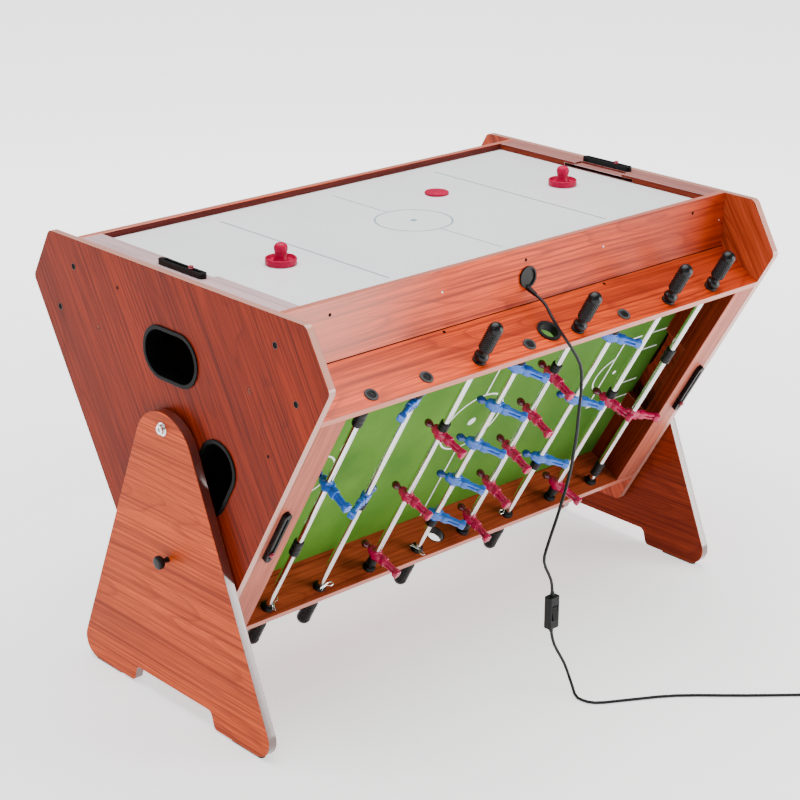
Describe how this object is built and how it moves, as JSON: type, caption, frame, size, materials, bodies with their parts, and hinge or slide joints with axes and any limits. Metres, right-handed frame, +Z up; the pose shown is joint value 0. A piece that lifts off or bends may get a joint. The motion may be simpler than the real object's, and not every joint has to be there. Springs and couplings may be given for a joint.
{
  "type": "rotating multi-game table",
  "caption": "Three-sided games table that turns on an axle between two leg panels, with air hockey, table football and pool faces.",
  "frame": {"origin": "on the floor, under the middle of the table's overall length and depth", "axes": "+X along the axle towards the right leg seen from the front, +Y to the rear, +Z up; the football face is at the front"},
  "size_m": [1.266, 1.2622, 0.869],
  "materials": {
    "cherry_laminate": "satin woodgrain foil",
    "edge_band": "satin",
    "white_sheet": "gloss",
    "green_sheet": "printed sheet",
    "green_cloth": "napped",
    "black_plastic": "moulded",
    "grip_rubber": "ribbed",
    "cord_pvc": "smooth",
    "chrome": "polished",
    "zinc_steel": "plated",
    "red_plastic": "moulded",
    "blue_plastic": "moulded",
    "rocker_plastic": "moulded",
    "fan_plastic": "moulded"
  },
  "bodies": {
    "stand": {"leg_left": "cherry_laminate", "leg_right": "cherry_laminate", "foot_glides": "black_plastic", "axle_bolts": "zinc_steel"},
    "cabinet": {"end_panel_left": "cherry_laminate", "end_panel_right": "cherry_laminate", "hand_hole_trims": "black_plastic", "hockey_side_boards": "cherry_laminate", "foosball_side_boards": "cherry_laminate", "pool_side_boards": "cherry_laminate", "hockey_playfield": "white_sheet", "hockey_end_rails": "edge_band", "blower_housing": "black_plastic", "foosball_playfield": "green_sheet", "foosball_end_rails": "edge_band", "board_grommets": "black_plastic", "rod_bushings": "black_plastic", "telescope_rods": "chrome", "pool_bed": "green_cloth", "pool_cushions": "green_cloth", "scorer_bars": "black_plastic", "cord": "cord_pvc", "cord_coil": "cord_pvc", "cord_plug": "cord_pvc", "switch_body": "black_plastic"},
    "lock_knob_left": {"lock_knob_left": "black_plastic"},
    "lock_knob_right": {"lock_knob_right": "black_plastic"},
    "blower_fan": {"blower_fan": "fan_plastic"},
    "mallet_left": {"mallet_left": "red_plastic"},
    "mallet_right": {"mallet_right": "red_plastic"},
    "puck": {"puck": "red_plastic"},
    "hockey_score_left": {"hockey_score_left": "red_plastic"},
    "hockey_score_right": {"hockey_score_right": "red_plastic"},
    "foosball_score_left": {"foosball_score_left": "red_plastic"},
    "foosball_score_right": {"foosball_score_right": "red_plastic"},
    "switch_rocker": {"switch_rocker": "rocker_plastic"},
    "rod_1_carriage": {"rod_1_bumpers": "grip_rubber"},
    "rod_1": {"rod_1": "chrome", "rod_1_men": "blue_plastic"},
    "rod_2_carriage": {"rod_2_bumpers": "grip_rubber"},
    "rod_2": {"rod_2": "chrome", "rod_2_men": "blue_plastic"},
    "rod_3_carriage": {"rod_3_bumpers": "grip_rubber"},
    "rod_3": {"rod_3": "chrome", "rod_3_men": "red_plastic"},
    "rod_4_carriage": {"rod_4_bumpers": "grip_rubber"},
    "rod_4": {"rod_4": "chrome", "rod_4_men": "blue_plastic"},
    "rod_5_carriage": {"rod_5_bumpers": "grip_rubber"},
    "rod_5": {"rod_5": "chrome", "rod_5_men": "red_plastic"},
    "rod_6_carriage": {"rod_6_bumpers": "grip_rubber"},
    "rod_6": {"rod_6": "chrome", "rod_6_men": "blue_plastic"},
    "rod_7_carriage": {"rod_7_bumpers": "grip_rubber"},
    "rod_7": {"rod_7": "chrome", "rod_7_men": "red_plastic"},
    "rod_8_carriage": {"rod_8_bumpers": "grip_rubber"},
    "rod_8": {"rod_8": "chrome", "rod_8_men": "red_plastic"}
  },
  "joints": [
    {"name": "cabinet_turn", "type": "hinge", "parent": "stand", "child": "cabinet", "pos_m": [0, 0, 0.56], "axis": [1, 0, 0], "range_deg": [-120, 120]},
    {"name": "lock_left_in", "type": "slide", "parent": "stand", "child": "lock_knob_left", "axis": [1, 0, 0], "range_m": [0, 0.012]},
    {"name": "lock_right_in", "type": "slide", "parent": "stand", "child": "lock_knob_right", "axis": [-1, 0, 0], "range_m": [0, 0.012]},
    {"name": "blower_spin", "type": "hinge", "parent": "cabinet", "child": "blower_fan", "pos_m": [0, -0.15, 0.75432], "axis": [0, 0, 1], "continuous": true},
    {"name": "rod_1_slide", "type": "slide", "parent": "cabinet", "child": "rod_1_carriage", "axis": [0, 0.5, -0.866], "range_m": [0, 0.136]},
    {"name": "rod_1_spin", "type": "hinge", "parent": "rod_1_carriage", "child": "rod_1", "pos_m": [-0.4445, -0.22501, 0.43009], "axis": [0, 0.5, -0.866], "continuous": true},
    {"name": "rod_2_slide", "type": "slide", "parent": "cabinet", "child": "rod_2_carriage", "axis": [0, 0.5, -0.866], "range_m": [0, 0.224]},
    {"name": "rod_2_spin", "type": "hinge", "parent": "rod_2_carriage", "child": "rod_2", "pos_m": [-0.3175, -0.22501, 0.43009], "axis": [0, 0.5, -0.866], "continuous": true},
    {"name": "rod_3_slide", "type": "slide", "parent": "cabinet", "child": "rod_3_carriage", "axis": [0, -0.5, 0.866], "range_m": [0, 0.134]},
    {"name": "rod_3_spin", "type": "hinge", "parent": "rod_3_carriage", "child": "rod_3", "pos_m": [-0.1905, -0.22501, 0.43009], "axis": [0, -0.5, 0.866], "continuous": true},
    {"name": "rod_4_slide", "type": "slide", "parent": "cabinet", "child": "rod_4_carriage", "axis": [0, 0.5, -0.866], "range_m": [0, 0.064]},
    {"name": "rod_4_spin", "type": "hinge", "parent": "rod_4_carriage", "child": "rod_4", "pos_m": [-0.0635, -0.22501, 0.43009], "axis": [0, 0.5, -0.866], "continuous": true},
    {"name": "rod_5_slide", "type": "slide", "parent": "cabinet", "child": "rod_5_carriage", "axis": [0, -0.5, 0.866], "range_m": [0, 0.064]},
    {"name": "rod_5_spin", "type": "hinge", "parent": "rod_5_carriage", "child": "rod_5", "pos_m": [0.0635, -0.22501, 0.43009], "axis": [0, -0.5, 0.866], "continuous": true},
    {"name": "rod_6_slide", "type": "slide", "parent": "cabinet", "child": "rod_6_carriage", "axis": [0, 0.5, -0.866], "range_m": [0, 0.134]},
    {"name": "rod_6_spin", "type": "hinge", "parent": "rod_6_carriage", "child": "rod_6", "pos_m": [0.1905, -0.22501, 0.43009], "axis": [0, 0.5, -0.866], "continuous": true},
    {"name": "rod_7_slide", "type": "slide", "parent": "cabinet", "child": "rod_7_carriage", "axis": [0, -0.5, 0.866], "range_m": [0, 0.224]},
    {"name": "rod_7_spin", "type": "hinge", "parent": "rod_7_carriage", "child": "rod_7", "pos_m": [0.3175, -0.22501, 0.43009], "axis": [0, -0.5, 0.866], "continuous": true},
    {"name": "rod_8_slide", "type": "slide", "parent": "cabinet", "child": "rod_8_carriage", "axis": [0, -0.5, 0.866], "range_m": [0, 0.136]},
    {"name": "rod_8_spin", "type": "hinge", "parent": "rod_8_carriage", "child": "rod_8", "pos_m": [0.4445, -0.22501, 0.43009], "axis": [0, -0.5, 0.866], "continuous": true},
    {"name": "mallet_left_slide", "type": "slide", "parent": "cabinet", "child": "mallet_left", "axis": [1, 0, 0], "range_m": [-0.12, 0.33]},
    {"name": "mallet_right_slide", "type": "slide", "parent": "cabinet", "child": "mallet_right", "axis": [1, 0, 0], "range_m": [-0.33, 0.088]},
    {"name": "puck_slide", "type": "slide", "parent": "cabinet", "child": "puck", "axis": [1, 0, 0], "range_m": [-0.6, 0.33]},
    {"name": "hockey_score_left_slide", "type": "slide", "parent": "cabinet", "child": "hockey_score_left", "axis": [0, 1, 0], "range_m": [-0.024, 0.074]},
    {"name": "hockey_score_right_slide", "type": "slide", "parent": "cabinet", "child": "hockey_score_right", "axis": [0, 1, 0], "range_m": [-0.024, 0.074]},
    {"name": "foosball_score_left_slide", "type": "slide", "parent": "cabinet", "child": "foosball_score_left", "axis": [0, -0.5, 0.866], "range_m": [-0.007, 0.091]},
    {"name": "foosball_score_right_slide", "type": "slide", "parent": "cabinet", "child": "foosball_score_right", "axis": [0, -0.5, 0.866], "range_m": [-0.007, 0.091]},
    {"name": "switch_rock", "type": "hinge", "parent": "cabinet", "child": "switch_rocker", "pos_m": [-0.04, -0.435, 0.167], "axis": [1, 0, 0], "range_deg": [0, 14]}
  ]
}
